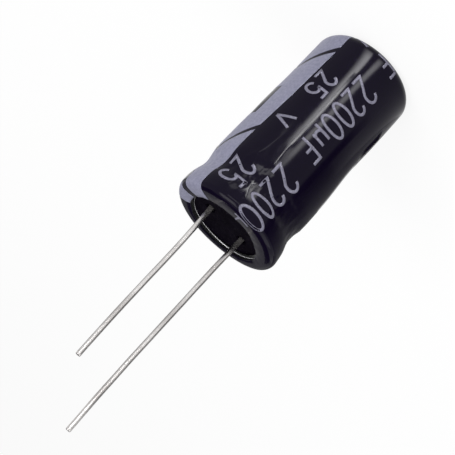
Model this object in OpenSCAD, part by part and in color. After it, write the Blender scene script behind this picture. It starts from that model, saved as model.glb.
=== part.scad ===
// Radial aluminium electrolytic capacitor, all sizes in millimetres.
// It stands on its closed end with the two wire leads pointing up +Z.
// The origin is the centre of the sleeve's underside, and the leads lie along X.

/* [Can] */
// Outside diameter of the drawn aluminium can
can_d = 12.7; // [12:0.1:18]
// Height of the can, from its closed end to the top of the rolled edge
can_h = 26.5; // [23:0.5:40]
// Wall thickness of the can
can_wall = 0.3; // [0.2:0.05:0.45]
// Thickness of the closed end
can_base = 0.4; // [0.3:0.05:0.8]
// Outside radius of the corner round the closed end
corner_r = 1.25; // [0.7:0.05:1.6]
// Depth of the V-shaped lines scored into the closed end as a vent
vent_depth = 0.15; // [0.05:0.01:0.2]
// Length of each scored line
vent_span = 7; // [4:0.5:8]

/* [Bead and rolled edge] */
// Drop from the top of the rolled edge to the middle of the bead
bead_drop = 4.1; // [3.8:0.1:6]
// Depth of the bead, rolled in from the can's side
bead_depth = 0.33; // [0.2:0.01:0.6]
// Half the height of the bead
bead_half = 2.75; // [1.5:0.05:3]
// How far the side swells out next to the bead
swell = 0.2; // [0.05:0.01:0.4]
// Length over which the side swells out
swell_len = 11; // [4:0.5:12]
// How far the rolled edge stands out past the can's side
rim_out = 0.39; // [0.1:0.01:0.6]
// Outside radius of the rolled edge
curl_r = 0.9; // [0.5:0.05:0.95]
// Width of the flat on top of the rolled edge
seat_w = 0.3; // [0.1:0.05:0.35]
// Angle at which the rolled edge falls inward, in degrees
curl_fall = 20; // [8:1:25]
// Width of the rolled edge, from its outside to the mouth
curl_w = 2; // [1.9:0.05:2.6]

/* [Sleeve] */
// Thickness of the shrunk plastic sleeve
sleeve_t = 0.15; // [0.08:0.01:0.3]
// How far the sleeve folds in over the closed end
fold_w = 2; // [1.8:0.1:2.3]
// Width of bare aluminium left between the sleeve and the mouth
lip_show = 0.3; // [0.1:0.05:0.4]

/* [End seal] */
// Thickness of the rubber end seal
seal_t = 5.6; // [5.2:0.1:8]
// How far the rubber bulges up inside the rolled edge
seal_bulge = 0.18; // [0.1:0.02:0.3]
// Diameter of the hole that each lead leaves the rubber through
root_hole_d = 1.2; // [1.05:0.05:1.6]
// Depth of the countersink round that hole
root_sink = 0.15; // [0.05:0.05:0.4]

/* [Wound element] */
// Clearance between the taped roll and the can
roll_clear = 0.1; // [0.05:0.01:0.4]
// Diameter of the hole left by the winding pin
roll_bore = 1.6; // [1:0.1:2.4]
// Height over which the soft edge of the roll's top is rounded off
roll_edge = 0.4; // [0.2:0.1:0.8]
// Turns of the spiral that show on each end of the roll
spiral_turns = 5; // [3:1:7]
// Depth of the gap between the paper edges
paper_over = 0.5; // [0.2:0.1:1]
// Width of the gap between the paper edges
paper_gap = 0.25; // [0.1:0.05:0.4]

/* [Fixing tape] */
// Thickness of the tape
tape_t = 0.06; // [0.04:0.01:0.1]
// Width of the tape, along the roll
tape_w = 11; // [6:1:14]
// Angle over which the tape overlaps itself, in degrees
tape_lap = 30; // [10:5:60]

/* [Tabs] */
// Diameter of the round stem that passes through the seal
stem_d = 1.8; // [1.3:0.1:2.2]
// How far the stem's top lies below the seal's face
stem_sink = 1; // [0.6:0.1:2]
// How far the stem stands out below the seal
stem_out = 0.3; // [0.1:0.1:1]
// Length of the neck where the stem is pressed flat
neck_len = 1; // [0.6:0.1:1.5]
// Length of flat strip between the neck and the roll
strip_out = 0.3; // [0.1:0.1:1]
// How deep the strip reaches into the roll
strip_in = 12; // [8:1:14]
// Width of the strip
strip_w = 2.4; // [1.9:0.1:3]
// Thickness of the strip
strip_t = 0.25; // [0.15:0.05:0.4]
// Side of each square stitch that holds the strip to its foil
stitch_w = 0.5; // [0.3:0.1:0.8]
// Stitches along the strip
stitches = 3; // [2:1:4]

/* [Leads] */
// Diameter of the lead wire
lead_d = 0.6; // [0.5:0.05:0.8]
// Distance between the two leads
lead_pitch = 5; // [4:0.5:7]
// Diameter of the weld that joins a lead to its stem
weld_d = 1; // [0.85:0.05:1.15]
// How far the weld's taper reaches above the seal's face
weld_rise = 0.1; // [0.05:0.05:0.5]
// Length of the positive lead above the seal
anode_len = 28.4; // [22:0.1:35]
// Length of the negative lead above the seal
cathode_len = 22.1; // [15:0.1:30]
// Height above the seal up to which the positive lead is straight
anode_straight = 16; // [6:1:18]
// Height above the seal up to which the negative lead is straight
cathode_straight = 8; // [4:1:12]
// How far the positive lead's tip has drifted outward
anode_drift = 0.15; // [0.05:0.01:1]
// How far the negative lead's tip has drifted inward
cathode_drift = 0.39; // [0.05:0.01:1]

/* [Fit] */
// Clearance between pieces that are pressed, wound or shrunk together
fit_gap = 0.01; // [0.005:0.005:0.03]

/* [Hidden] */
$fn = 96;
arc_steps = 8;       // straight pieces in each curve of an outline
spiral_steps = 24;   // straight pieces in each turn of the spiral
over = 1;            // how far a cutter runs past what it cuts

can_r = can_d / 2;
can_z = sleeve_t + fit_gap;           // underside of the can
can_top = can_z + can_h;              // top of the rolled edge
bead_z = can_top - bead_drop;
bead_low = bead_z - bead_half;
swell_r = can_r + swell;
bead_r = can_r - bead_depth;
rim_r = can_r + rim_out;
mouth_r = rim_r - curl_w;
curl_z = can_top - curl_r;            // centre height of the rolled edge's arcs
inner_curl_r = rim_r - curl_r - seat_w;

// The rolled edge's slope runs from its inner arc to the mouth
slope_r = inner_curl_r - curl_r * sin(curl_fall);
slope_z = curl_z + curl_r * cos(curl_fall);
mouth_z = slope_z - (slope_r - mouth_r) * tan(curl_fall);

floor_z = can_z + can_base;           // inside of the closed end
cavity_r = can_r - can_wall;
inner_corner_r = corner_r - can_wall;

// The seal's corner under the mouth, one clearance away from the rolled edge
edge_off = can_wall + fit_gap;
edge_r = mouth_r + edge_off * sin(curl_fall) - fit_gap * cos(curl_fall);
edge_z = mouth_z - edge_off * cos(curl_fall) - fit_gap * sin(curl_fall);
seal_z = edge_z + seal_bulge;         // face of the seal
seal_low = seal_z - seal_t;

stem_top = seal_z - stem_sink;
stem_low = seal_low - stem_out;
neck_low = stem_low - neck_len;
roll_top = neck_low - strip_out;
roll_low = floor_z + fit_gap;
roll_r = cavity_r - roll_clear - 2 * tape_t - fit_gap;
tape_z = (roll_low + inner_corner_r + roll_top - roll_edge - tape_w) / 2;
strip_low = roll_top - strip_in;
lead_x = lead_pitch / 2;

function reversed(points) = [for (i = [len(points) - 1 : -1 : 0]) points[i]];

// Points [radius, height] on an arc, from angle a0 to a1
function arc(r, z, radius, a0, a1) =
    [for (i = [0 : arc_steps])
        let (a = a0 + (a1 - a0) * i / arc_steps)
        [r + radius * cos(a), z + radius * sin(a)]];

// Two equal arcs that lead smoothly from [r0, z0] up to [r1, z1], moved outward by off
function s_curve(r0, z0, r1, z1, off) =
    let (rise = z1 - z0, side = sign(r1 - r0),
         turn = 2 * atan(abs(r1 - r0) / rise),
         radius = rise / (2 * sin(turn)),
         first = radius - side * off,
         last = radius + side * off)
    concat(
        [for (i = [0 : arc_steps])
            let (a = turn * i / arc_steps)
            [r0 + side * (radius - first * cos(a)), z0 + first * sin(a)]],
        [for (i = [arc_steps - 1 : -1 : 0])
            let (a = turn * i / arc_steps)
            [r1 - side * (radius - last * cos(a)), z1 - last * sin(a)]]);

// Outline of the can's outside from the axis to the mouth, moved outward by off.
// base_up lifts the closed end, which has its own thickness.
function contour(off, base_up) = concat(
    [[0, can_z + base_up]],
    arc(can_r - corner_r, can_z + base_up + corner_r + off, corner_r + off, -90, 0),
    s_curve(can_r, bead_low - swell_len, swell_r, bead_low, off),
    s_curve(swell_r, bead_low, bead_r, bead_z, off),
    s_curve(bead_r, bead_z, rim_r, bead_z + bead_half, off),
    arc(rim_r - curl_r, curl_z, curl_r + off, 0, 90),
    arc(inner_curl_r, curl_z, curl_r + off, 90, 90 + curl_fall),
    [[mouth_r - off * sin(curl_fall), mouth_z + off * cos(curl_fall)]]);

// A flat spiral band, with its turns between radius r0 and r1
module spiral_band(r0, r1, width) {
    count = spiral_turns * spiral_steps;
    polygon(concat(
        [for (i = [0 : count])
            let (a = 360 * i / spiral_steps, r = r0 + (r1 - r0) * i / count + width / 2)
            [r * cos(a), r * sin(a)]],
        [for (i = [count : -1 : 0])
            let (a = 360 * i / spiral_steps, r = r0 + (r1 - r0) * i / count - width / 2)
            [r * cos(a), r * sin(a)]]));
}

// Plastic film shrunk over the can, folded in at both ends
module sleeve() {
    color([0.11, 0.10, 0.15])
    rotate_extrude()
    difference() {
        polygon(concat(contour(fit_gap + sleeve_t, -fit_gap - sleeve_t),
                       reversed(contour(fit_gap, -fit_gap))));
        translate([-over, -over])
            square([over + can_r - fold_w, bead_z]);
        translate([-over, bead_z])
            square([over + mouth_r + lip_show, bead_drop + over]);
    }
}

// Drawn can with a beaded side, a rolled edge and a scored closed end
module can() {
    color([0.78, 0.79, 0.81])
    difference() {
        rotate_extrude()
            polygon(concat(contour(0, 0), reversed(contour(-can_wall, can_base))));
        for (turn = [0, 90])
            translate([0, 0, can_z])
                rotate([45, 0, turn + 45])
                    cube([vent_span, vent_depth * sqrt(2), vent_depth * sqrt(2)], center = true);
    }
}

// Rubber plug, squeezed by the bead and the rolled edge
module end_seal() {
    face_r = edge_r - (seal_z - edge_z) * tan(curl_fall);
    color([0.13, 0.12, 0.14])
    difference() {
        rotate_extrude()
        intersection() {
            polygon(concat(contour(-edge_off, can_base + fit_gap),
                           [[edge_r, edge_z], [face_r, seal_z], [0, seal_z]]));
            translate([0, seal_low])
                square([rim_r, seal_t]);
        }
        for (x = [-lead_x, lead_x])
            translate([x, 0, 0]) {
                translate([0, 0, seal_low - over])
                    cylinder(d = stem_d + 2 * fit_gap, h = stem_top - seal_low + over);
                translate([0, 0, stem_top - over])
                    cylinder(d = root_hole_d, h = stem_sink + 2 * over);
                translate([0, 0, seal_z - root_sink])
                    cylinder(d1 = root_hole_d, d2 = root_hole_d + 2 * root_sink, h = root_sink);
            }
    }
}

// Roll of foils and soaked paper: the paper edges stand up in a spiral on both ends
module wound_element() {
    color([0.80, 0.74, 0.62])
    difference() {
        rotate_extrude()
            polygon([[roll_bore / 2, roll_low],
                     [roll_r - inner_corner_r, roll_low],
                     [roll_r, roll_low + inner_corner_r],
                     [roll_r, roll_top - roll_edge],
                     [roll_r - roll_edge, roll_top],
                     [roll_bore / 2, roll_top]]);
        for (z = [roll_low - over, roll_top - paper_over])
            translate([0, 0, z])
                linear_extrude(over + paper_over)
                    spiral_band(roll_bore / 2 + 2 * paper_gap, roll_r - roll_edge, paper_gap);
        for (x = [-lead_x, lead_x])
            translate([x - strip_t / 2 - fit_gap, -strip_w / 2 - fit_gap, strip_low - fit_gap])
                cube([strip_t + 2 * fit_gap, strip_w + 2 * fit_gap, strip_in + over]);
    }
}

// Tape that holds the roll closed, with its end lapped over its start
module fixing_tape() {
    color([0.86, 0.80, 0.58])
    translate([0, 0, tape_z]) {
        rotate_extrude()
            translate([roll_r + fit_gap, 0])
                square([tape_t, tape_w]);
        rotate_extrude(angle = tape_lap)
            translate([roll_r + fit_gap + tape_t / 2, 0])
                square([tape_t * 3 / 2, tape_w]);
    }
}

// Aluminium tab: a round stem in the seal, pressed flat into a strip inside the roll
module tab() {
    color([0.70, 0.71, 0.73])
    difference() {
        union() {
            translate([0, 0, stem_low])
                cylinder(d = stem_d, h = stem_top - stem_low);
            hull() {
                translate([0, 0, stem_low])
                    cylinder(d = stem_d, h = fit_gap, $fn = 32);
                translate([-strip_t / 2, -strip_w / 2, neck_low - fit_gap])
                    cube([strip_t, strip_w, fit_gap]);
            }
            translate([-strip_t / 2, -strip_w / 2, strip_low])
                cube([strip_t, strip_w, neck_low - strip_low]);
        }
        for (i = [1 : stitches])
            translate([0, 0, strip_low + strip_in * i / (stitches + 1)])
                cube([strip_t + over, stitch_w, stitch_w], center = true);
    }
}

// Tinned wire lead, welded to its stem: straight at first, then in one slight curve
// that takes its tip towards +X by drift
module lead(length, straight, drift) {
    curved = length - straight;
    bend_r = (curved * curved + drift * drift) / (2 * drift);
    color([0.80, 0.80, 0.80]) {
        translate([0, 0, -stem_sink])
            cylinder(d1 = weld_d, d2 = lead_d, h = stem_sink + weld_rise);
        translate([0, 0, weld_rise])
            cylinder(d = lead_d, h = straight - weld_rise);
        translate([bend_r, 0, straight])
            rotate([90, 0, 180])
                rotate_extrude(angle = 2 * atan(drift / curved))
                    translate([bend_r, 0])
                        circle(d = lead_d);
    }
}

module anode_tab() {
    translate([-lead_x, 0, 0])
        tab();
}

module cathode_tab() {
    translate([lead_x, 0, 0])
        tab();
}

// The positive lead is the longer one, and its tip drifts outward, to -X
module anode_lead() {
    translate([-lead_x, 0, seal_z])
        mirror([1, 0, 0])
            lead(anode_len, anode_straight, anode_drift);
}

// The negative lead's tip drifts inward, to -X
module cathode_lead() {
    translate([lead_x, 0, seal_z])
        mirror([1, 0, 0])
            lead(cathode_len, cathode_straight, cathode_drift);
}

sleeve();
can();
end_seal();
wound_element();
fixing_tape();
anode_tab();
cathode_tab();
anode_lead();
cathode_lead();
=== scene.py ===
import math
import bmesh
import bpy
from mathutils import Matrix, Vector, noise


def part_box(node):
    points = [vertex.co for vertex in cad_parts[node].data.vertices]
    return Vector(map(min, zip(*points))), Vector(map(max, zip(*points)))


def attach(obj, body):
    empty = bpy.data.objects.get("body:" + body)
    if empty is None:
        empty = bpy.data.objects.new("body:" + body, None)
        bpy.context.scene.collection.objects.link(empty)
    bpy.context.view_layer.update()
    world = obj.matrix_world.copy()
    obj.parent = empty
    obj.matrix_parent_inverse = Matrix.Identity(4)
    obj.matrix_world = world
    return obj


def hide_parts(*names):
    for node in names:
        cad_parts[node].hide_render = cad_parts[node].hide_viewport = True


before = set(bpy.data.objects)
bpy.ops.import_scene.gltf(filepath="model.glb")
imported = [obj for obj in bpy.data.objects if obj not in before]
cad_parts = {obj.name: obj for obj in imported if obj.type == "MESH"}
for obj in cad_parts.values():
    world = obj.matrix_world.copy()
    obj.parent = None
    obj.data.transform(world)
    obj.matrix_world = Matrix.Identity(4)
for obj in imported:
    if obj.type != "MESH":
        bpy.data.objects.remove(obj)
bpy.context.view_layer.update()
scene = bpy.context.scene
scene.view_settings.view_transform = "Standard"
mm = 0.001
print("frame loaded:", len(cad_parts), "nodes")


# Camera, at the photograph's angle: it looks down on the standing body and is rolled over
cameraLook = {
    "aim": (-1.22, 4.28, 24.80),   # point in the middle of the picture, in mm
    "azimuth": -79.0,              # side of the body that faces the camera
    "elevation": 20.27,
    "distance": 134.2,
    "roll": -137.15,
    "lens": 91.7,
    "sensor": 36.0,
    "clip": (0.005, 20.0),         # metres
}


def towards(azimuth, elevation=0.0):
    a, e = math.radians(azimuth), math.radians(elevation)
    return Vector((math.cos(e) * math.cos(a), math.cos(e) * math.sin(a), math.sin(e)))


def setCamera(look):
    data = bpy.data.cameras.new("photoCamera")
    data.lens = look["lens"]
    data.sensor_width = look["sensor"]
    data.clip_start, data.clip_end = look["clip"]
    camera = bpy.data.objects.new("photoCamera", data)
    scene.collection.objects.link(camera)
    back = towards(look["azimuth"], look["elevation"])
    right = Vector((0, 0, 1)).cross(back).normalized()
    up = back.cross(right)
    upright = Matrix((right, up, back)).transposed()
    turn = upright @ Matrix.Rotation(math.radians(look["roll"]), 3, "Z")
    place = (Vector(look["aim"]) + back * look["distance"]) * mm
    camera.matrix_world = Matrix.Translation(place) @ turn.to_4x4()
    scene.camera = camera


setCamera(cameraLook)
print("camera set")


# Studio: white floor and room, two soft lamps, and cards that only show as reflections
studio = {
    "floorSize": 6.0,              # metres
    "floorTint": (0.95, 0.95, 0.95, 1),
    "floorPlainWhite": 0.86,       # share of the floor that is seen as plain white
    "roomLight": 0.62,
    "cardHeight": 0.15,            # of the first card that lies on the floor, in mm
    "cardStep": 0.03,              # each later card lies this much higher
    "cardGrid": 36,                # squares along each side of a card
}
# name, place and target in mm, size in mm, brightness
softLamps = (
    ("keySoftbox", (260, -260, 420), (0, 0, 15), (300, 300), 5.2),
    ("fillSoftbox", (-330, -120, 260), (0, 0, 15), (260, 260), 1.9),
)
# Cards on the floor: name, nearest and farthest distance from the axis, the azimuths of the two
# corners at the near end and at the far end, brightness (the floor's is 1) in those four corners,
# and the shares of the card over which its first side, last side, near end and far end fade into
# the floor
floorCards = (
    ("nearShade", 7.2, 28.0, (96.0, 181.0), (88.0, 181.0),
     (0.46, 0.62, 0.10, 0.42), (0.1, 0.0, 0.05, 0.0)),
    ("backShade", 28.0, 320.0, (88.0, 181.0), (88.0, 181.0),
     (0.10, 0.42, 0.10, 0.36), (0, 0, 0, 0)),
    ("sideShade", 24.0, 320.0, (-179.0, -146.0), (-179.0, -146.0),
     (0.42, 0.18, 0.30, 0.04), (0, 0, 0.01, 0)),
    ("narrowShade", 17.0, 320.0, (-146.0, -129.0), (-146.0, -131.0),
     (0.05, 0.05, 0.0, 0.0), (0, 0.3, 0.02, 0)),
    ("dentShade", 13.0, 21.5, (146.0, 177.0), (138.0, 167.0),
     (0.02, 0.02, 0.02, 0.02), (0.2, 0.1, 0.1, 0.1)),
    ("edgeGlint", 22.0, 41.0, (107.0, 141.0), (105.0, 134.0),
     (1.0, 1.0, 1.0, 1.0), (0, 0, 0, 0)),
    ("barShade", 26.0, 43.0, (42.0, 74.0), (42.0, 74.0),
     (0.45, 0.45, 0.45, 0.45), (0.2, 0.2, 0.2, 0.2)),
    ("leadShade", 72.0, 320.0, (5.0, 84.0), (5.0, 84.0),
     (0.5, 0.3, 0.5, 0.3), (0.3, 0.1, 0.05, 0)),
    ("softGlint", 7.0, 62.0, (-88.5, -76.4), (-88.0, -72.5),
     (17, 17, 17, 17), (0.45, 0.4, 0.04, 0.5)),
    ("mainGlint", 7.0, 47.0, (-70.4, -54.5), (-67.8, -54.0),
     (24, 24, 62, 62), (0.12, 0.75, 0.05, 0.75)),
    ("lineGlint", 14.0, 62.0, (-69.8, -64.5), (-69.8, -65.5),
     (60, 60, 60, 60), (0.4, 0.5, 0.15, 0.35)),
    ("thinGlint", 28.0, 64.0, (-47.0, -38.0), (-46.0, -36.0),
     (5, 5, 5, 5), (0.45, 0.45, 0.3, 0.3)),
)
# Standing cards: name, azimuth, elevation, distance, size, brightness. The last one is bright.
standingCards = (
    ("lowBackCard", 101.0, 19.0, 260.0, (420.0, 92.0), 0.4),
    ("highBackCard", 101.0, 58.0, 262.0, (420.0, 290.0), 0.05),
    ("sideBackCard", 128.0, 1.0, 330.0, (470.0, 120.0), 0.2),
    ("creaseGlint", -64.0, 5.0, 300.0, (190.0, 30.0), 9.0),
)


def whiteWhereSeen(nodes, links):
    rays = nodes.new("ShaderNodeLightPath")
    seen = rays.outputs["Is Camera Ray"]
    for kind in ("Is Glossy Ray", "Is Transmission Ray"):
        either = nodes.new("ShaderNodeMath")
        either.operation = "MAXIMUM"
        links.new(seen, either.inputs[0])
        links.new(rays.outputs[kind], either.inputs[1])
        seen = either.outputs[0]
    return seen


def buildRoom():
    world = bpy.data.worlds.new("whiteRoom")
    world.use_nodes = True
    nodes, links = world.node_tree.nodes, world.node_tree.links
    nodes.clear()
    light = nodes.new("ShaderNodeBackground")
    light.inputs["Color"].default_value = (1, 1, 1, 1)
    light.inputs["Strength"].default_value = studio["roomLight"]
    show = nodes.new("ShaderNodeBackground")
    show.inputs["Color"].default_value = (1, 1, 1, 1)
    mix = nodes.new("ShaderNodeMixShader")
    links.new(whiteWhereSeen(nodes, links), mix.inputs[0])
    links.new(light.outputs[0], mix.inputs[1])
    links.new(show.outputs[0], mix.inputs[2])
    out = nodes.new("ShaderNodeOutputWorld")
    links.new(mix.outputs[0], out.inputs[0])
    scene.world = world


def buildFloor():
    mat = bpy.data.materials.new("whiteFloor")
    mat.use_nodes = True
    nodes, links = mat.node_tree.nodes, mat.node_tree.links
    nodes.clear()
    lit = nodes.new("ShaderNodeBsdfDiffuse")
    lit.inputs["Color"].default_value = studio["floorTint"]
    plain = nodes.new("ShaderNodeEmission")
    share = nodes.new("ShaderNodeMath")
    share.operation = "MULTIPLY"
    share.inputs[1].default_value = studio["floorPlainWhite"]
    links.new(whiteWhereSeen(nodes, links), share.inputs[0])
    mix = nodes.new("ShaderNodeMixShader")
    links.new(share.outputs[0], mix.inputs[0])
    links.new(lit.outputs[0], mix.inputs[1])
    links.new(plain.outputs[0], mix.inputs[2])
    out = nodes.new("ShaderNodeOutputMaterial")
    links.new(mix.outputs[0], out.inputs[0])
    bm = bmesh.new()
    bmesh.ops.create_grid(bm, x_segments=1, y_segments=1, size=studio["floorSize"] / 2)
    mesh = bpy.data.meshes.new("studioFloor")
    bm.to_mesh(mesh)
    bm.free()
    mesh.materials.append(mat)
    floor = bpy.data.objects.new("studioFloor", mesh)
    scene.collection.objects.link(floor)


def addLamp(name, place, target, size, brightness):
    data = bpy.data.lights.new(name, "AREA")
    data.shape = "RECTANGLE"
    data.size = size[0] * mm
    data.size_y = size[1] * mm
    data.energy = brightness * math.pi * data.size * data.size_y     # gives the panel this radiance
    lamp = bpy.data.objects.new(name, data)
    facing = (Vector(place) - Vector(target)).to_track_quat("Z", "Y")
    lamp.matrix_world = Matrix.Translation(Vector(place) * mm) @ facing.to_matrix().to_4x4()
    lamp.visible_camera = False
    scene.collection.objects.link(lamp)


# A card one wide and one long, with x along it and y across it. A fade is eased at both its ends.
def cardGrid(corners, fades=(0, 0, 0, 0)):
    bm = bmesh.new()
    count = studio["cardGrid"]
    bmesh.ops.create_grid(bm, x_segments=count, y_segments=count, size=0.5)
    glow = bm.verts.layers.float.new("glow")
    for vert in bm.verts:
        x, y = vert.co.x + 0.5, vert.co.y + 0.5
        near = corners[0] + (corners[1] - corners[0]) * y
        far = corners[2] + (corners[3] - corners[2]) * y
        rise = 1.0
        for inside, fade in zip((y, 1 - y, x, 1 - x), fades):
            part = min(1.0, max(0.0, inside / fade)) if fade else 1.0
            rise *= part * part * (3 - 2 * part)
        vert[glow] = 1 + (near + (far - near) * x - 1) * rise
    return bm


def finishCard(bm, name):
    mat = bpy.data.materials.new(name)
    mat.use_nodes = True
    nodes, links = mat.node_tree.nodes, mat.node_tree.links
    nodes.clear()
    level = nodes.new("ShaderNodeAttribute")
    level.attribute_name = "glow"
    glow = nodes.new("ShaderNodeEmission")
    links.new(level.outputs["Fac"], glow.inputs["Strength"])
    out = nodes.new("ShaderNodeOutputMaterial")
    links.new(glow.outputs[0], out.inputs[0])
    mesh = bpy.data.meshes.new(name)
    bm.to_mesh(mesh)
    bm.free()
    mesh.materials.append(mat)
    card = bpy.data.objects.new(name, mesh)
    card.visible_camera = False
    card.visible_diffuse = False
    card.visible_shadow = False
    scene.collection.objects.link(card)


def layCard(order, name, near, far, nearSpan, farSpan, corners, fades):
    bm = cardGrid(corners, fades)
    height = studio["cardHeight"] + order * studio["cardStep"]
    for vert in bm.verts:
        along, across = vert.co.x + 0.5, vert.co.y + 0.5
        start = nearSpan[0] + (farSpan[0] - nearSpan[0]) * along
        end = nearSpan[1] + (farSpan[1] - nearSpan[1]) * along
        reach = near + (far - near) * along
        vert.co = (towards(start + (end - start) * across) * reach + Vector((0, 0, height))) * mm
    finishCard(bm, name)


def standCard(name, azimuth, elevation, distance, size, brightness):
    bm = cardGrid((brightness,) * 4)
    bmesh.ops.scale(bm, vec=(size[0] * mm, size[1] * mm, 1), verts=bm.verts)
    facing = towards(azimuth, elevation).to_track_quat("Z", "Y").to_matrix()
    bmesh.ops.rotate(bm, cent=(0, 0, 0), matrix=facing, verts=bm.verts)
    bmesh.ops.translate(bm, vec=towards(azimuth, elevation) * distance * mm, verts=bm.verts)
    finishCard(bm, name)


buildRoom()
buildFloor()
for lampRow in softLamps:
    addLamp(*lampRow)
for order, cardRow in enumerate(floorCards):
    layCard(order, *cardRow)
for cardRow in standingCards:
    standCard(*cardRow)
print("studio built")


# Materials, all on Object coordinates. In their dictionaries a noise is its scale, detail and
# roughness, a bump is its strength and its depth in mm, and a pair of rough is from smooth to dull.
noiseSpan = (0.3, 0.7)             # nearly all values of a noise lie between these


def freshMaterial(name):
    mat = bpy.data.materials.new(name)
    mat.use_nodes = True
    nodes, links = mat.node_tree.nodes, mat.node_tree.links
    coords = nodes.new("ShaderNodeTexCoord")
    return mat, nodes, links, nodes["Principled BSDF"], coords.outputs["Object"]


def stretched(nodes, links, coords, scale):
    mapping = nodes.new("ShaderNodeMapping")
    mapping.inputs["Scale"].default_value = scale
    links.new(coords, mapping.inputs["Vector"])
    return mapping.outputs["Vector"]


def grain(nodes, links, coords, scale, detail, rough):
    tex = nodes.new("ShaderNodeTexNoise")
    tex.inputs["Scale"].default_value = scale
    tex.inputs["Detail"].default_value = detail
    tex.inputs["Roughness"].default_value = rough
    links.new(coords, tex.inputs["Vector"])
    return tex.outputs["Fac"]


def ranged(nodes, links, value, fromLow, fromHigh, toLow=0, toHigh=1):
    node = nodes.new("ShaderNodeMapRange")
    node.inputs["From Min"].default_value = fromLow
    node.inputs["From Max"].default_value = fromHigh
    node.inputs["To Min"].default_value = toLow
    node.inputs["To Max"].default_value = toHigh
    links.new(value, node.inputs["Value"])
    return node.outputs["Result"]


# Between two heights in mm
def heightRanged(nodes, links, coords, low, high, toLow=0, toHigh=1):
    place = nodes.new("ShaderNodeSeparateXYZ")
    links.new(coords, place.inputs[0])
    return ranged(nodes, links, place.outputs["Z"], low * mm, high * mm, toLow, toHigh)


# From colour A to colour B: each is a tuple, or the socket that gives it
def tinted(nodes, links, value, colourA, colourB):
    node = nodes.new("ShaderNodeMix")
    node.data_type = "RGBA"
    for end, colour in (("A", colourA), ("B", colourB)):
        if isinstance(colour, tuple):
            node.inputs[end].default_value = (*colour, 1)
        else:
            links.new(colour, node.inputs[end])
    links.new(value, node.inputs["Factor"])
    return node.outputs["Result"]


def embossed(nodes, links, height, strength, depth, under=None):
    node = nodes.new("ShaderNodeBump")
    node.inputs["Strength"].default_value = strength
    node.inputs["Distance"].default_value = depth * mm
    links.new(height, node.inputs["Height"])
    if under:
        links.new(under, node.inputs["Normal"])
    return node.outputs["Normal"]


def glossyFilm():
    look = {
        "dark": (0.0028, 0.0014, 0.0078),
        "light": (0.0040, 0.0022, 0.0106),
        "cloud": (260, 4, 0.5),
        "rub": (900, 5, 0.6),
        "rough": (0.09, 0.17),
        "specular": 0.09,
        "peel": (1400, 2, 0.5),
        "peelBump": (0.35, 0.010),
        "fine": (6000, 3, 0.5),
        "fineBump": (0.15, 0.003),
    }
    mat, nodes, links, shader, coords = freshMaterial("glossyFilm")
    cloud = grain(nodes, links, coords, *look["cloud"])
    links.new(tinted(nodes, links, cloud, look["dark"], look["light"]), shader.inputs["Base Color"])
    rub = grain(nodes, links, coords, *look["rub"])
    links.new(ranged(nodes, links, rub, *noiseSpan, *look["rough"]), shader.inputs["Roughness"])
    shader.inputs["Specular IOR Level"].default_value = look["specular"]
    peel = grain(nodes, links, coords, *look["peel"])
    fine = grain(nodes, links, coords, *look["fine"])
    soft = embossed(nodes, links, peel, *look["peelBump"])
    links.new(embossed(nodes, links, fine, *look["fineBump"], soft), shader.inputs["Normal"])
    return mat


def paleInk(name, thin, full):
    look = {
        "speck": (3200, 5, 0.65),
        "cover": (0.32, 0.62),     # values of the speck where the ink is thin and where it is full
        "rough": 0.42,
        "specular": 0.2,
        "bump": (0.25, 0.006),
    }
    mat, nodes, links, shader, coords = freshMaterial(name)
    speck = grain(nodes, links, coords, *look["speck"])
    cover = ranged(nodes, links, speck, *look["cover"])
    links.new(tinted(nodes, links, cover, thin, full), shader.inputs["Base Color"])
    shader.inputs["Roughness"].default_value = look["rough"]
    shader.inputs["Specular IOR Level"].default_value = look["specular"]
    links.new(embossed(nodes, links, speck, *look["bump"]), shader.inputs["Normal"])
    return mat


aluminiumGrain = {
    "along": (1, 1, 0.08),         # the lines run up the can
    "lines": (2200, 4, 0.5),
    "lineDepth": 0.006,
    "scuffs": (700, 6, 0.7),
    "dull": 0.78,                  # share of the tint between the scuffs
}
aluminiumLooks = {
    "drawnAluminium": {
        "tint": (0.82, 0.83, 0.84),
        "rough": (0.20, 0.36),
        "lined": 0.12,             # strength of the lines
        "paintedShadeAt": (25.9, 26.3),   # heights in mm between which the metal darkens: painted shade on the ring at the mouth, in place of the dark that the bright metal reflects there
        "paintedShade": 0.14,           # share of the tint that the painted shade leaves above
    },
    "burnishedLip": {"tint": (0.84, 0.84, 0.85), "rough": (0.30, 0.42), "lined": 0.04},
    "pressedAluminium": {"tint": (0.76, 0.77, 0.78), "rough": (0.30, 0.50), "lined": 0.25},
}


def wornAluminium(name):
    g, look = aluminiumGrain, aluminiumLooks[name]
    mat, nodes, links, shader, coords = freshMaterial(name)
    lines = grain(nodes, links, stretched(nodes, links, coords, g["along"]), *g["lines"])
    scuff = grain(nodes, links, coords, *g["scuffs"])
    dull = tuple(c * g["dull"] for c in look["tint"])
    colour = tinted(nodes, links, scuff, dull, look["tint"])
    # Painted shade: above a height the metal's colour is darkened, which blackens the ring at the mouth
    if "paintedShadeAt" in look:
        paintedShade = tuple(c * look["paintedShade"] for c in look["tint"])
        upward = heightRanged(nodes, links, coords, *look["paintedShadeAt"])
        colour = tinted(nodes, links, upward, colour, paintedShade)
    links.new(colour, shader.inputs["Base Color"])
    shader.inputs["Metallic"].default_value = 1.0
    links.new(ranged(nodes, links, scuff, *noiseSpan, *look["rough"]), shader.inputs["Roughness"])
    links.new(embossed(nodes, links, lines, look["lined"], g["lineDepth"]), shader.inputs["Normal"])
    return mat


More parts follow.
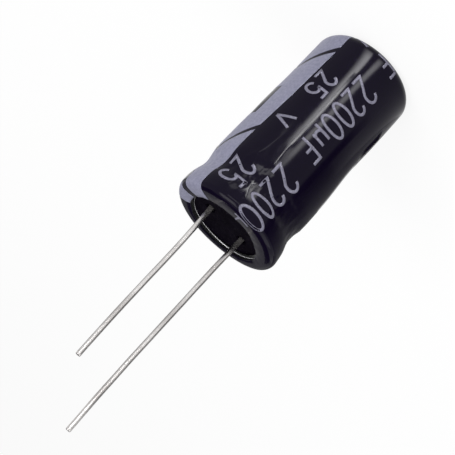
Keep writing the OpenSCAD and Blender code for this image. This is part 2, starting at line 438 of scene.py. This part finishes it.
def dustyRubber():
    look = {
        "deep": (0.0012, 0.0006, 0.0022),
        "worn": (0.0034, 0.0022, 0.0058),
        "patches": (420, 3, 0.5),
        "patchSpan": (0.35, 0.65),
        "dust": (0.026, 0.022, 0.030),
        "grit": (2100, 6, 0.75),
        "gritSpan": (0.60, 0.70),
        "rough": (0.45, 0.8),
        "index": 1.07,
        "flow": (9, 4, 0.7),       # lines that run outwards from the middle of the plug
        "flowBump": (0.7, 0.12),
        "pores": (1500, 5, 0.6),
        "poreBump": (0.6, 0.04),
    }
    mat, nodes, links, shader, coords = freshMaterial("dustyRubber")
    patches = ranged(nodes, links, grain(nodes, links, coords, *look["patches"]), *look["patchSpan"])
    rubber = tinted(nodes, links, patches, look["deep"], look["worn"])
    grit = grain(nodes, links, coords, *look["grit"])
    dusted = ranged(nodes, links, grit, *look["gritSpan"])
    links.new(tinted(nodes, links, dusted, rubber, look["dust"]), shader.inputs["Base Color"])
    links.new(ranged(nodes, links, grit, *noiseSpan, *look["rough"]), shader.inputs["Roughness"])
    shader.inputs["IOR"].default_value = look["index"]
    outward = nodes.new("ShaderNodeVectorMath")
    outward.operation = "NORMALIZE"
    links.new(stretched(nodes, links, coords, (1, 1, 0)), outward.inputs[0])
    flow = grain(nodes, links, outward.outputs["Vector"], *look["flow"])
    pores = grain(nodes, links, coords, *look["pores"])
    ridged = embossed(nodes, links, flow, *look["flowBump"])
    links.new(embossed(nodes, links, pores, *look["poreBump"], ridged), shader.inputs["Normal"])
    return mat


def tinnedWire():
    look = {
        "bright": (0.70, 0.68, 0.67),
        "dull": (0.40, 0.38, 0.37),
        "cloudAlong": (1, 1, 0.4),
        "cloud": (600, 3, 0.5),
        "cloudSpan": (0.35, 0.7),
        # painted shade on the wire where it rises from the seal's countersink
        "root": (0.26, 0.245, 0.24),
        "rootShadeAt": (26.30, 27.90),  # heights in mm between which the painted shade at the wire's root, where it rises from the seal's countersink, gives way to the bright wire
        "rootMetal": 0.72,
        "streakAlong": (1, 1, 0.02),
        "streaks": (3600, 3, 0.55),
        "rough": (0.12, 0.24),
        "bump": (0.07, 0.003),
    }
    mat, nodes, links, shader, coords = freshMaterial("tinnedWire")
    streaks = grain(nodes, links, stretched(nodes, links, coords, look["streakAlong"]), *look["streaks"])
    cloud = grain(nodes, links, stretched(nodes, links, coords, look["cloudAlong"]), *look["cloud"])
    patches = ranged(nodes, links, cloud, *look["cloudSpan"])
    bare = tinted(nodes, links, patches, look["bright"], look["dull"])
    # Painted shade: near the seal the wire is darker and less metallic
    upward = heightRanged(nodes, links, coords, *look["rootShadeAt"])
    links.new(tinted(nodes, links, upward, look["root"], bare), shader.inputs["Base Color"])
    metal = heightRanged(nodes, links, coords, *look["rootShadeAt"], look["rootMetal"], 1)
    links.new(metal, shader.inputs["Metallic"])
    links.new(ranged(nodes, links, streaks, *noiseSpan, *look["rough"]), shader.inputs["Roughness"])
    links.new(embossed(nodes, links, streaks, *look["bump"]), shader.inputs["Normal"])
    return mat


def soakedPaper():
    look = {
        "wet": (0.52, 0.44, 0.29),
        "dry": (0.72, 0.65, 0.50),
        "fibre": (2400, 6, 0.7),
        "rough": 0.7,
        "bump": (0.4, 0.02),
    }
    mat, nodes, links, shader, coords = freshMaterial("soakedPaper")
    fibre = grain(nodes, links, coords, *look["fibre"])
    links.new(tinted(nodes, links, fibre, look["wet"], look["dry"]), shader.inputs["Base Color"])
    shader.inputs["Roughness"].default_value = look["rough"]
    links.new(embossed(nodes, links, fibre, *look["bump"]), shader.inputs["Normal"])
    return mat


def amberTape():
    look = {
        "thick": (0.62, 0.50, 0.22),
        "thin": (0.74, 0.64, 0.36),
        "cloud": (500, 4, 0.5),
        "rough": (0.28, 0.45),
        "bump": (0.2, 0.01),
    }
    mat, nodes, links, shader, coords = freshMaterial("amberTape")
    cloud = grain(nodes, links, coords, *look["cloud"])
    links.new(tinted(nodes, links, cloud, look["thick"], look["thin"]), shader.inputs["Base Color"])
    links.new(ranged(nodes, links, cloud, *noiseSpan, *look["rough"]), shader.inputs["Roughness"])
    links.new(embossed(nodes, links, cloud, *look["bump"]), shader.inputs["Normal"])
    return mat


filmMat = glossyFilm()
stripeMat = paleInk("paleInk", (0.180, 0.180, 0.252), (0.252, 0.253, 0.345))
markMat = paleInk("thinInk", (0.150, 0.146, 0.196), (0.215, 0.208, 0.278))
canMat = wornAluminium("drawnAluminium")
lipMat = wornAluminium("burnishedLip")
tabMat = wornAluminium("pressedAluminium")
rubberMat = dustyRubber()
wireMat = tinnedWire()
paperMat = soakedPaper()
tapeMat = amberTape()

nodeFinish = {
    "sleeve": (filmMat, "sleeve_film"),
    "can": (canMat, "can_aluminium"),
    "end_seal": (rubberMat, "seal_rubber"),
    "wound_element": (paperMat, "soaked_paper"),
    "fixing_tape": (tapeMat, "tape_film"),
    "anode_tab": (tabMat, "tab_aluminium"),
    "cathode_tab": (tabMat, "tab_aluminium"),
    "anode_lead": (wireMat, "tinned_wire"),
    "cathode_lead": (wireMat, "tinned_wire"),
}
for node, (material, slotName) in nodeFinish.items():
    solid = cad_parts[node]
    solid.data.materials.clear()
    solid.data.materials.append(material)
print("materials made")


# Film: its outline is worked out as in the part, from the fold under the closed end to the mouth
filmForm = {
    "thick": 0.15,
    "gap": 0.01,               # between film and can
    "corner": 1.25,            # can's corner round the closed end
    "rimOut": 0.39,            # rolled edge past the side
    "beadDrop": 4.1,
    "beadDip": 0.05,           # hollow that the film leaves over the bead
    "beadHalf": 2.75,
    "swell": 0.23,
    "swellRun": 11.0,
    "curl": 0.9,               # rolled edge: its radius, the flat on top and the fall inwards
    "seat": 0.3,
    "fall": 20.0,
    "shoulder": 0.7,           # the film stretches tighter round its outer corner
    "foldEdge": 4.35,          # radius of the opening under the closed end
    "lipEdge": 5.04,           # radius of the opening at the mouth, where it is even
    "mouthRound": 4.83,        # the opening as it shrank: its radius, how far it lies off the
    "mouthShift": 0.62,        # axis, and towards which azimuth
    "mouthToward": 115.0,
    "tongue": 0.22,            # how much further it reaches in at one place
    "tongueAt": -143.0,
    "tongueHalf": 24.0,        # in degrees
    "lipFollow": (0.25, 1.0),  # share of the rolled edge's fall that the film follows, where it
    "lipReach": (4.2, 5.2),    # reaches in and where it draws back, and its radii there
    "ragged": 0.07,            # of both cut edges
    "ragPitch": 6.0,
    "turns": 240,              # faces round the body, and faces along each stretch of the outline
    "steps": {"fold": 5, "corner": 14, "side": 16, "swell": 14, "bead": 9, "shoulder": 12,
              "curl": 4, "lip": 4},
}
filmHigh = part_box("sleeve")[1]
filmOff = filmForm["gap"] + filmForm["thick"]
canTop = filmHigh.z / mm - filmOff
canLow = filmOff
rimR = filmHigh.x / mm - filmOff
sideR = rimR - filmForm["rimOut"]
innerR = rimR - filmForm["curl"] - filmForm["seat"]         # where the rolled edge starts to fall inwards
flatR = sideR - filmForm["corner"]
beadZ = canTop - filmForm["beadDrop"]
cornerTop = canLow + filmForm["corner"]
mmPerDegree = math.radians(1) * (sideR + filmOff)


# Each point of an outline is (radius, height, outward normal's two parts)
def arcRun(cr, cz, radius, a0, a1, steps):
    run = []
    for i in range(steps + 1):
        a = math.radians(a0 + (a1 - a0) * i / steps)
        run.append((cr + radius * math.cos(a), cz + radius * math.sin(a), math.cos(a), math.sin(a)))
    return run


# Two arcs that meet without a kink and lead from one radius to another
def sRun(r0, z0, r1, z1, off, steps):
    side = 1 if r1 > r0 else -1
    rise = z1 - z0
    turn = 2 * math.atan(abs(r1 - r0) / rise)
    radius = rise / (2 * math.sin(turn))
    first, last = radius - side * off, radius + side * off
    run = []
    for i in range(steps + 1):
        a = turn * i / steps
        run.append((r0 + side * (radius - first * math.cos(a)), z0 + first * math.sin(a),
                    math.cos(a), -side * math.sin(a)))
    for i in range(steps - 1, -1, -1):
        a = turn * i / steps
        run.append((r1 - side * (radius - last * math.cos(a)), z1 - last * math.sin(a),
                    math.cos(a), -side * math.sin(a)))
    return run


def bodyOutline(off):
    f, steps = filmForm, filmForm["steps"]
    beadLow = beadZ - f["beadHalf"]
    swellR, beadR = sideR + f["swell"], sideR - f["beadDip"]
    curlZ, shoulder = canTop - f["curl"], f["shoulder"]
    swellZ = beadLow - f["swellRun"]
    run = [(f["foldEdge"] + (flatR - f["foldEdge"]) * i / steps["fold"], canLow - off, 0, -1)
           for i in range(steps["fold"])]
    run += arcRun(flatR, cornerTop, f["corner"] + off, -90, 0, steps["corner"])
    run += [(sideR + off, cornerTop + (swellZ - cornerTop) * i / steps["side"], 1, 0)
            for i in range(1, steps["side"])]
    run += sRun(sideR, swellZ, swellR, beadLow, off, steps["swell"])
    run += sRun(swellR, beadLow, beadR, beadZ, off, steps["bead"])[1:]
    run += sRun(beadR, beadZ, rimR, beadZ + f["beadHalf"], off, steps["bead"])[1:]
    run += arcRun(rimR - shoulder, canTop - shoulder, shoulder + off, 0, 90, steps["shoulder"])
    run += arcRun(innerR, curlZ, f["curl"] + off, 90, 90 + f["fall"], steps["curl"])
    r0, z0, nr, nz = run[-1]
    for i in range(1, steps["lip"] + 1):
        r = r0 + (f["lipEdge"] - r0) * i / steps["lip"]
        run.append((r, z0 - (r0 - r) * math.tan(math.radians(f["fall"])), nr, nz))
    return run


def softPeak(x):
    return math.exp(-x * x)


def ringNoise(angle, pitch, seed):
    a = math.radians(angle)
    return noise.noise(Vector((math.cos(a) * pitch, math.sin(a) * pitch, seed)))


# How far the rolled edge has fallen inwards at a radius, moved outward by off
def rollFall(r, off):
    f = filmForm
    radius = f["curl"] + off
    steep = math.radians(f["fall"])
    slopeR = innerR - radius * math.sin(steep)
    if r > slopeR:
        return radius - math.sqrt(radius * radius - (innerR - r) ** 2)
    return radius * (1 - math.cos(steep)) + (slopeR - r) * math.tan(steep)


# The film's two cut edges as they shrank: off-centre and flatter at the mouth, ragged at both ends
def settled(angle, r, z, off):
    f = filmForm
    rag = f["ragged"] * ringNoise(angle, f["ragPitch"], z)
    if z < cornerTop and r < flatR:
        return flatR - (flatR - r) * (flatR - f["foldEdge"] - rag) / (flatR - f["foldEdge"]), z
    if z < cornerTop or r >= innerR:
        return r, z
    turn = math.radians(angle - f["mouthToward"])
    edge = f["mouthShift"] * math.cos(turn) + rag
    edge += math.sqrt(f["mouthRound"] ** 2 - (f["mouthShift"] * math.sin(turn)) ** 2)
    edge -= f["tongue"] * softPeak(((angle - f["tongueAt"] + 180) % 360 - 180) / f["tongueHalf"])
    low, high = f["lipFollow"]
    inner, outer = f["lipReach"]
    follow = low + (high - low) * min(1.0, max(0.0, (edge - inner) / (outer - inner)))
    r = innerR - (innerR - r) * (innerR - edge) / (innerR - f["lipEdge"])
    return r, canTop + off - rollFall(r, off) * follow


skin = bodyOutline(filmOff)
lining = bodyOutline(filmForm["gap"])
skinRun = [0.0]
for here, there in zip(skin, skin[1:]):
    skinRun.append(skinRun[-1] + math.hypot(there[0] - here[0], there[1] - here[1]))
sideStart = next(s for s, point in zip(skinRun, skin) if point[1] >= cornerTop - 1e-6)
skinRun = [s + cornerTop - sideStart for s in skinRun]      # so the run is the height along the side
filmStart, filmEnd = skinRun[0], skinRun[-1]


# Unevenness of the shrunk film, in mm inwards: it stays within the film, so the film stays off the
# can. Only the creases and two soft bulges stand out.
filmFlaws = {
    "waves": 0.02,
    "wavePitch": 0.3,
    "pleats": 0.09,            # wrinkles in the bead
    "pleatReach": 2.2,
    "pleatNoise": ((1.0, 0.75, 0.3), (0.4, 1.9, 0.8)),      # share, pitch round and pitch along the body
    "pleatGain": 1.6,
    "foldPuckers": 0.08,       # under the closed end
    "foldReach": 1.6,          # below the top of the can's corner
    "foldRise": 0.8,           # run over which they deepen
    "foldNoise": (9.0, 4.0),   # pitch and seed
    "lipPuckers": 0.05,
    "lipReach": 1.1,
    "lipNoise": (7.0, 9.0),
    # depth, angle and run of the middle, and size: a dent, and where the film stands off the can at
    # the rolled edge's outer corner and beside the stripe
    "dents": (
        (0.12, -166.0, 11.4, 16.0, 2.8),
        (-0.22, -172.0, 26.8, 42.0, 1.7),
        (-0.12, 12.0, 11.2, 26.0, 2.6),
    ),
    "creaseWidth": 0.26,
    "creaseReach": 3.0,        # widths past which a crease is flat
    "creaseLoss": 0.5,         # share of its height that it loses towards its second end
    "deepest": 0.85,           # share of the film's thickness
}
# Creases where the film drew together over the bead: angle and run of both ends, height
creases = (
    (-72.4, 17.2, -74.3, 19.8, 0.030),
    (-74.3, 19.8, -82.6, 20.9, 0.070),
    (-74.3, 19.8, -70.0, 21.6, 0.060),
    (-60.2, 17.0, -56.0, 19.6, 0.030),
    (-56.0, 19.6, -49.0, 21.0, 0.065),
    (-54.5, 20.2, -59.0, 21.6, 0.055),
    (-82.0, 21.7, -66.0, 23.0, 0.075),
    (-66.0, 23.0, -59.5, 22.4, 0.050),
    (-69.8, 23.3, -77.0, 25.6, 0.060),
    (-59.0, 23.8, -49.5, 26.0, 0.055),
    (-71.0, 24.1, -64.5, 25.1, 0.060),
    (-66.5, 23.7, -62.0, 24.6, 0.045),
    (-54.0, 24.0, -47.0, 24.7, 0.060),
    (-56.5, 20.3, -51.0, 20.8, 0.050),
    (-95.0, 22.0, -101.0, 24.6, 0.045),
    (-42.0, 22.0, -36.0, 24.0, 0.040),
    (25.0, 21.2, 14.0, 23.4, 0.055),
    (52.0, 22.0, 60.0, 24.6, 0.050),
    (96.0, 20.6, 88.0, 22.8, 0.060),
    (101.0, 22.4, 112.0, 24.2, 0.055),
    (150.0, 21.4, 141.0, 23.6, 0.050),
    (-170.0, 20.8, -178.0, 23.2, 0.045),
)


def creaseAt(angle, run):
    f = filmFlaws
    rise = 0.0
    for a0, s0, a1, s1, height in creases:
        legX, legY = (a1 - a0) * mmPerDegree, s1 - s0
        x, y = (angle - a0) * mmPerDegree, run - s0
        t = (x * legX + y * legY) / (legX * legX + legY * legY)
        t = min(1.0, max(0.0, t))
        gap = math.hypot(x - t * legX, y - t * legY)
        if gap < f["creaseReach"] * f["creaseWidth"]:
            rise = max(rise, height * softPeak(gap / f["creaseWidth"]) * (1 - f["creaseLoss"] * t))
    return rise


def flawAt(angle, run):
    f = filmFlaws
    a = math.radians(angle)
    x, y = sideR * math.cos(a), sideR * math.sin(a)
    move = f["waves"] * (0.5 + 0.5 * noise.noise(Vector((x, y, run)) * f["wavePitch"]))
    pleat = 0.0
    for share, pitchRound, pitchAlong in f["pleatNoise"]:
        spot = Vector((x * pitchRound, y * pitchRound, run * pitchAlong))
        pleat += share * abs(noise.noise(spot))
    move += f["pleats"] * softPeak((run - beadZ) / f["pleatReach"]) * min(1.0, f["pleatGain"] * pleat)
    move -= creaseAt(angle, run)
    if run < cornerTop - f["foldReach"]:
        pucker = 0.5 + 0.5 * ringNoise(angle, *f["foldNoise"])
        depth = min(1.0, (cornerTop - f["foldReach"] - run) / f["foldRise"])
        move += f["foldPuckers"] * pucker * depth
    if run > filmEnd - f["lipReach"]:
        pucker = 0.5 + 0.5 * ringNoise(angle, *f["lipNoise"])
        move += f["lipPuckers"] * pucker * (run - filmEnd + f["lipReach"]) / f["lipReach"]
    for depth, midAngle, midRun, width, length in f["dents"]:
        da = ((angle - midAngle + 180) % 360 - 180) / width
        move += depth * softPeak(math.hypot(da, (run - midRun) / length))
    return min(move, filmForm["thick"] * f["deepest"])


degreesPerFace = 360 / filmForm["turns"]
flawGrid = [[flawAt(((i * degreesPerFace + 180) % 360) - 180, run) for run in skinRun]
            for i in range(filmForm["turns"])]


def onFilm(angle, run, proud=0.0):
    run = min(max(run, filmStart), filmEnd)
    j = max(1, next(k for k, s in enumerate(skinRun) if s >= run - 1e-9))
    t = (run - skinRun[j - 1]) / (skinRun[j] - skinRun[j - 1])
    r, z, nr, nz = (a + (b - a) * t for a, b in zip(skin[j - 1], skin[j]))
    r, z = settled(angle, r, z, filmOff)
    turn = (angle % 360) / degreesPerFace
    i, u = int(turn) % filmForm["turns"], turn - int(turn)
    left, right = flawGrid[i], flawGrid[(i + 1) % filmForm["turns"]]
    flaw = (left[j - 1] * (1 - t) + left[j] * t) * (1 - u) + (right[j - 1] * (1 - t) + right[j] * t) * u
    lift = proud - flaw
    return (towards(angle) * (r + nr * lift) + Vector((0, 0, z + nz * lift))) * mm


def finishPiece(bm, name, material, replaced=None):
    mesh = bpy.data.meshes.new(name)
    bm.to_mesh(mesh)
    bm.free()
    mesh.materials.append(material)
    mesh.shade_smooth()
    piece = bpy.data.objects.new(name, mesh)
    scene.collection.objects.link(piece)
    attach(piece, "root")
    if replaced:
        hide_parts(replaced)
    return piece


def buildFilm():
    bm = bmesh.new()
    runOf = bm.verts.layers.float.new("run")
    outer = bm.verts.layers.int.new("outer")
    loop = []
    for (r, z, _, _), run in zip(skin, skinRun):
        vert = bm.verts.new((r * mm, 0, z * mm))
        vert[runOf] = run
        vert[outer] = 1
        loop.append(vert)
    loop += [bm.verts.new((r * mm, 0, z * mm)) for r, z, _, _ in reversed(lining)]
    edges = [bm.edges.new((a, b)) for a, b in zip(loop, loop[1:] + loop[:1])]
    bmesh.ops.spin(bm, geom=loop + edges, cent=(0, 0, 0), axis=(0, 0, 1), dvec=(0, 0, 0),
                   angle=2 * math.pi, steps=filmForm["turns"], use_merge=True)
    bmesh.ops.remove_doubles(bm, verts=bm.verts, dist=1e-7)
    bmesh.ops.recalc_face_normals(bm, faces=bm.faces)
    for vert in bm.verts:
        angle = math.degrees(math.atan2(vert.co.y, vert.co.x))
        if vert[outer]:
            vert.co = onFilm(angle, vert[runOf])
        else:
            r, z = settled(angle, vert.co.xy.length / mm, vert.co.z / mm, filmForm["gap"])
            vert.co = towards(angle) * r * mm + Vector((0, 0, z * mm))
    finishPiece(bm, "sleeveFilm", filmMat, "sleeve")


buildFilm()
print("film built")


# Print: drawn flat, with x as the run along the body and y as the angle, then wrapped on the film
inkForm = {
    "proud": 0.012,
    "layer": 0.002,            # each further stroke of a mark lies this much higher
    "repeat": 14.5,            # pitch of the print along the body
    # each repeat, how far the film drew it along the body, and half the angle of its minus bar
    "repeats": ((-1, 0.0, 10.5), (0, 0.0, 10.5), (1, 0.22, 5.5)),
    "edge": 0.03,              # kept clear of the film's edges
    "stripeGrid": (130, 52),   # squares along and across the stripe
    # run and half the stripe's angle there, centred on the negative lead
    "stripeHalf": ((2.8, 39.1), (17.0, 34.1), (23.0, 31.9)),
    # run of each arrow-shaped gap at the stripe's middle, and its fall per degree
    "gaps": ((-7.6, 0.088), (6.62, 0.0894), (20.85, 0.112)),
    "gapWidth": (0.50, 0.85),  # at the middle and at the edges
    "bar": (10.1, 14.8),       # run of the dark minus bar's two ends
    "stroke": 0.34,
    "strokeStep": 0.3,         # between two points of a stroke
    "mitre": 0.6,              # share below which a sharp corner no longer widens the stroke
}


def wrapInk(bm, name, proud, material):
    for vert in bm.verts:
        vert.co = onFilm(vert.co.y, vert.co.x, proud)
    bm.normal_update()
    outwards = sum(face.normal.dot(face.calc_center_median().xy.to_3d()) for face in bm.faces)
    if outwards < 0:
        bmesh.ops.reverse_faces(bm, faces=bm.faces)
    piece = finishPiece(bm, name, material)
    wall = piece.modifiers.new("inkLayer", "SOLIDIFY")
    wall.thickness = inkForm["proud"] * mm
    wall.offset = -1.0


def cutAcross(bm, co, no, faces=None):
    faces = faces or bm.faces[:]
    geom = set(faces)
    for face in faces:
        geom.update(face.edges)
        geom.update(face.verts)
    bmesh.ops.bisect_plane(bm, geom=list(geom), dist=1e-6, plane_co=co, plane_no=no)


def stripeHalfAt(run):
    rows = inkForm["stripeHalf"]
    for (s0, half0), (s1, half1) in zip(rows, rows[1:]):
        if run < s1:
            return half0 + (half1 - half0) * max(0.0, run - s0) / (s1 - s0)
    return rows[-1][1]


def buildStripe():
    f = inkForm
    start, end = filmStart + f["edge"], filmEnd - f["edge"]
    bm = bmesh.new()
    along, across = f["stripeGrid"]
    bmesh.ops.create_grid(bm, x_segments=along, y_segments=across, size=1.0)
    bmesh.ops.scale(bm, vec=((end - start) / 2, 1, 1), verts=bm.verts)
    bmesh.ops.translate(bm, vec=((end + start) / 2, 0, 0), verts=bm.verts)
    for vert in bm.verts:
        vert.co.y *= stripeHalfAt(vert.co.x)
    middle = f["gapWidth"][0] / 2
    spread = (f["gapWidth"][1] - f["gapWidth"][0]) / 2 / f["stripeHalf"][0][1]
    for apex, fall in f["gaps"]:
        for side in (-1, 1):
            for reach in (-1, 1):
                faces = [face for face in bm.faces if face.calc_center_median().y * side > 0]
                lean = side * (fall - reach * spread)
                cutAcross(bm, (apex + reach * middle, 0, 0), (1, lean, 0), faces)
    bars = [[run + copy * f["repeat"] + drawn for run in f["bar"]] + [half]
            for copy, drawn, half in f["repeats"]]
    for low, high, half in bars:
        for run in (low, high):
            cutAcross(bm, (run, 0, 0), (1, 0, 0))
        for angle in (-half, half):
            cutAcross(bm, (0, angle, 0), (0, 1, 0))
    bare = []
    for face in bm.faces:
        mid = face.calc_center_median()
        side = abs(mid.y)
        inGap = any(abs(mid.x - apex + fall * side) < middle + spread * side for apex, fall in f["gaps"])
        inBar = any(side < half and low < mid.x < high for low, high, half in bars)
        if inGap or inBar:
            bare.append(face)
    bmesh.ops.delete(bm, geom=bare, context="FACES")
    wrapInk(bm, "stripeInk", f["proud"], stripeMat)


buildStripe()
print("stripe built")


def bow(cx, cy, rx, ry, a0, a1, steps=14):
    turn = [math.radians(a0 + (a1 - a0) * i / steps) for i in range(steps + 1)]
    return [(cx + rx * math.cos(a), cy + ry * math.sin(a)) for a in turn]


# Each mark is a few strokes in a box one wide and one high
marks = {
    "two": [bow(0.5, 0.72, 0.5, 0.28, 168, -28) + [(0.0, 0.0), (1.0, 0.0)]],
    "nought": [bow(0.5, 0.5, 0.5, 0.5, 0, 360, 28)],
    "five": [[(0.94, 1.0), (0.14, 1.0), (0.06, 0.54)] + bow(0.48, 0.33, 0.52, 0.33, 140, -158)],
    "micro": [[(0.0, 0.94), (0.0, 0.48)] + bow(0.43, 0.48, 0.43, 0.2, 180, 360, 10)[1:] + [(0.86, 0.94)],
              [(0.0, 0.48), (0.0, 0.0)], [(0.86, 0.48), (0.90, 0.30), (1.0, 0.28)]],
    "farad": [[(0.0, 0.0), (0.0, 1.0), (1.0, 1.0)], [(0.0, 0.5), (0.86, 0.5)]],
    "volt": [[(0.0, 1.0), (0.5, 0.0)], [(0.5, 0.0), (1.0, 1.0)]],
}
# mark, its first and last run, the angles of its foot and its top, how far round the film drew each
# further repeat, in degrees, and how much taller it left it
printRow = (
    ("two", 4.50, 6.20, -75.0, -107.0, -1.6, 0.0),
    ("two", 6.70, 8.30, -75.0, -107.0, -1.6, 0.0),
    ("nought", 8.65, 10.30, -75.0, -107.0, -1.6, 0.0),
    ("nought", 10.65, 12.40, -75.0, -107.0, -1.6, 0.0),
    ("micro", 12.75, 14.40, -75.0, -99.5, -1.6, 0.0),
    ("farad", 15.05, 16.60, -75.0, -104.0, -1.6, 0.0),
    ("two", 6.55, 8.05, -40.0, -65.0, 3.0, 0.16),
    ("five", 8.55, 10.15, -40.0, -65.0, 3.0, 0.2),
    ("volt", 13.60, 15.55, -39.0, -61.0, 2.0, 0.0),
)


def walked(path, step):
    points = [path[0]]
    for here, there in zip(path, path[1:]):
        count = max(1, math.ceil((there - here).length / step))
        points += [here.lerp(there, i / count) for i in range(1, count + 1)]
    return points


def layStroke(path, half):
    bm = bmesh.new()
    closed = (path[0] - path[-1]).length < 1e-6
    edge = None
    for i, point in enumerate(path):
        back = path[-2] if closed else None
        before = path[i - 1] if i else back
        after = path[i + 1] if i + 1 < len(path) else (path[1] if closed else None)
        legIn = (point - before).normalized() if before else (after - point).normalized()
        legOut = (after - point).normalized() if after else legIn
        ahead = (legIn + legOut).normalized()
        across = Vector((-ahead.y, ahead.x, 0)) * half / max(inkForm["mitre"], ahead.dot(legOut))
        if edge is None:
            left, right = bm.verts.new(point + across), bm.verts.new(point - across)
            edge = bm.edges.new((left, right))
            continue
        made = bmesh.ops.extrude_edge_only(bm, edges=[edge])["geom"]
        edge = next(part for part in made if isinstance(part, bmesh.types.BMEdge))
        left, right = sorted(edge.verts, key=lambda vert: (vert.co - left.co).length)
        left.co, right.co = point + across, point - across
    if closed:
        bmesh.ops.remove_doubles(bm, verts=bm.verts, dist=1e-4)
    return bm


def buildMarks():
    f = inkForm
    half = f["stroke"] / 2
    for copy, drawn, _ in f["repeats"]:
        for count, (mark, runA, runB, foot, top, drift, growth) in enumerate(printRow):
            width = runB - runA - f["stroke"]
            height = (foot - top) * (1 + growth * copy) * mmPerDegree - f["stroke"]
            for layer, stroke in enumerate(marks[mark]):
                corners = [Vector((x * width, y * height, 0)) for x, y in stroke]
                bm = layStroke(walked(corners, f["strokeStep"]), half)
                for vert in bm.verts:
                    run = runA + half + vert.co.x + copy * f["repeat"] + drawn
                    vert.co = (run, foot + copy * drift - (vert.co.y + half) / mmPerDegree, 0)
                for side, run in ((-1, filmStart + f["edge"]), (1, filmEnd - f["edge"])):
                    bmesh.ops.bisect_plane(bm, geom=bm.verts[:] + bm.edges[:] + bm.faces[:], dist=1e-6,
                                           plane_co=(run, 0, 0), plane_no=(side, 0, 0), clear_outer=True)
                if bm.faces:
                    name = "ink." + mark + ".%d.%d.%d" % (copy + 1, count, layer)
                    wrapInk(bm, name, f["proud"] + layer * f["layer"], markMat)
                else:
                    bm.free()


buildMarks()
print("marks built")


# Leads: the wires with the slight bends they were left with, and tips rounded by the cutter
leadForm = {
    "half": 0.31,
    "seal": 26.31,             # height of the seal's face, which the rows below start from
    "weldHalf": 0.5,
    "weld": (-1.0, 0.1),       # from where to where the weld tapers
    "sides": 28,
    "step": 0.7,               # between two rings of points
    "tipRun": 0.3,             # below the tip, where the even rings end
    "tip": ((0.06, 1.0), (0.02, 0.93), (0.0, 0.8)),    # height below the tip, share of the width
    "waver": 0.018,
    "waverNoise": (0.35, 1.0, 5.0),     # pitch, and the seeds of its two directions
}
# node, x of the root, length, how far it leans towards +X from its root and up to what height, and
# how far its tip drifts further and from what height
leadRows = (
    ("anode_lead", -2.5, 28.4, 0.10, 6.0, -0.20, 16.0),
    ("cathode_lead", 2.5, 22.1, -0.24, 8.0, -0.16, 12.0),
)


def buildLead(node, rootX, length, lean, leanTop, drift, driftFrom):
    f = leadForm
    low, rise = f["weld"]
    count = round((length - rise) / f["step"])
    heights = [rise + (length - f["tipRun"] - rise) * i / count for i in range(1, count + 1)]
    rings = [(low, f["weldHalf"])] + [(height, f["half"]) for height in [rise] + heights]
    rings += [(length - down, f["half"] * share) for down, share in f["tip"]]
    pitch, seedX, seedY = f["waverNoise"]
    bm = bmesh.new()
    bmesh.ops.create_circle(bm, cap_ends=True, segments=f["sides"], radius=1.0)
    cap = next(iter(bm.faces))
    for _ in rings[1:]:
        made = bmesh.ops.extrude_face_region(bm, geom=[cap] + cap.edges[:] + cap.verts[:])["geom"]
        cap = next(part for part in made if isinstance(part, bmesh.types.BMFace))
        bmesh.ops.translate(bm, vec=(0, 0, 1), verts=cap.verts)
    for vert in bm.verts:
        height, half = rings[round(vert.co.z)]
        leaning = 1 - max(0.0, 1 - max(0.0, height) / leanTop) ** 2
        drifting = (max(0.0, height - driftFrom) / (length - driftFrom)) ** 2
        free = min(1.0, max(0.0, height) / leanTop) * f["waver"]
        x = rootX + lean * leaning + drift * drifting
        x += free * noise.noise(Vector((height * pitch, rootX, seedX)))
        y = free * noise.noise(Vector((height * pitch, rootX, seedY)))
        vert.co = Vector((x + vert.co.x * half, y + vert.co.y * half, f["seal"] + height)) * mm
    bmesh.ops.recalc_face_normals(bm, faces=bm.faces)
    finishPiece(bm, node + ".wire", wireMat, node)


for leadRow in leadRows:
    buildLead(*leadRow)
print("leads built")


# The rolled edge's worn inner lip: a thin bright line on the ring, widest on the side away from the
# stripe
lineForm = {
    "radius": 4.80,
    "shift": 0.28,             # how far it lies off the axis, and towards which azimuth
    "towards": 175.0,
    "half": (0.015, 0.046),    # half its width, where it is thin and where it is wide
    "widest": 138.0,           # azimuth
    "rise": 0.012,             # of its middle above the ring
    "turns": 180,
    "sides": 12,
    "wheel": 10.0,             # radius of the ring while its section still has a radius of one
}


def buildLipLine():
    f = lineForm
    bm = bmesh.new()
    bmesh.ops.create_circle(bm, segments=f["sides"], radius=1.0)
    bmesh.ops.rotate(bm, cent=(0, 0, 0), matrix=Matrix.Rotation(math.pi / 2, 3, "X"), verts=bm.verts)
    bmesh.ops.translate(bm, vec=(f["wheel"], 0, 0), verts=bm.verts)
    bmesh.ops.spin(bm, geom=bm.verts[:] + bm.edges[:], cent=(0, 0, 0), axis=(0, 0, 1), dvec=(0, 0, 0),
                   angle=2 * math.pi, steps=f["turns"], use_merge=True)
    bmesh.ops.remove_doubles(bm, verts=bm.verts, dist=1e-5)
    bmesh.ops.recalc_face_normals(bm, faces=bm.faces)
    for vert in bm.verts:
        angle = math.degrees(math.atan2(vert.co.y, vert.co.x))
        out, up = vert.co.xy.length - f["wheel"], vert.co.z
        r = f["radius"] + f["shift"] * math.cos(math.radians(angle - f["towards"]))
        wide = 0.5 + 0.5 * math.cos(math.radians(angle - f["widest"]))
        half = f["half"][0] + (f["half"][1] - f["half"][0]) * wide
        z = canTop - rollFall(r, 0) + f["rise"]
        vert.co = (towards(angle) * (r + out * half) + Vector((0, 0, z + up * half))) * mm
    finishPiece(bm, "lipLine", lipMat)


buildLipLine()
print("lip line built")
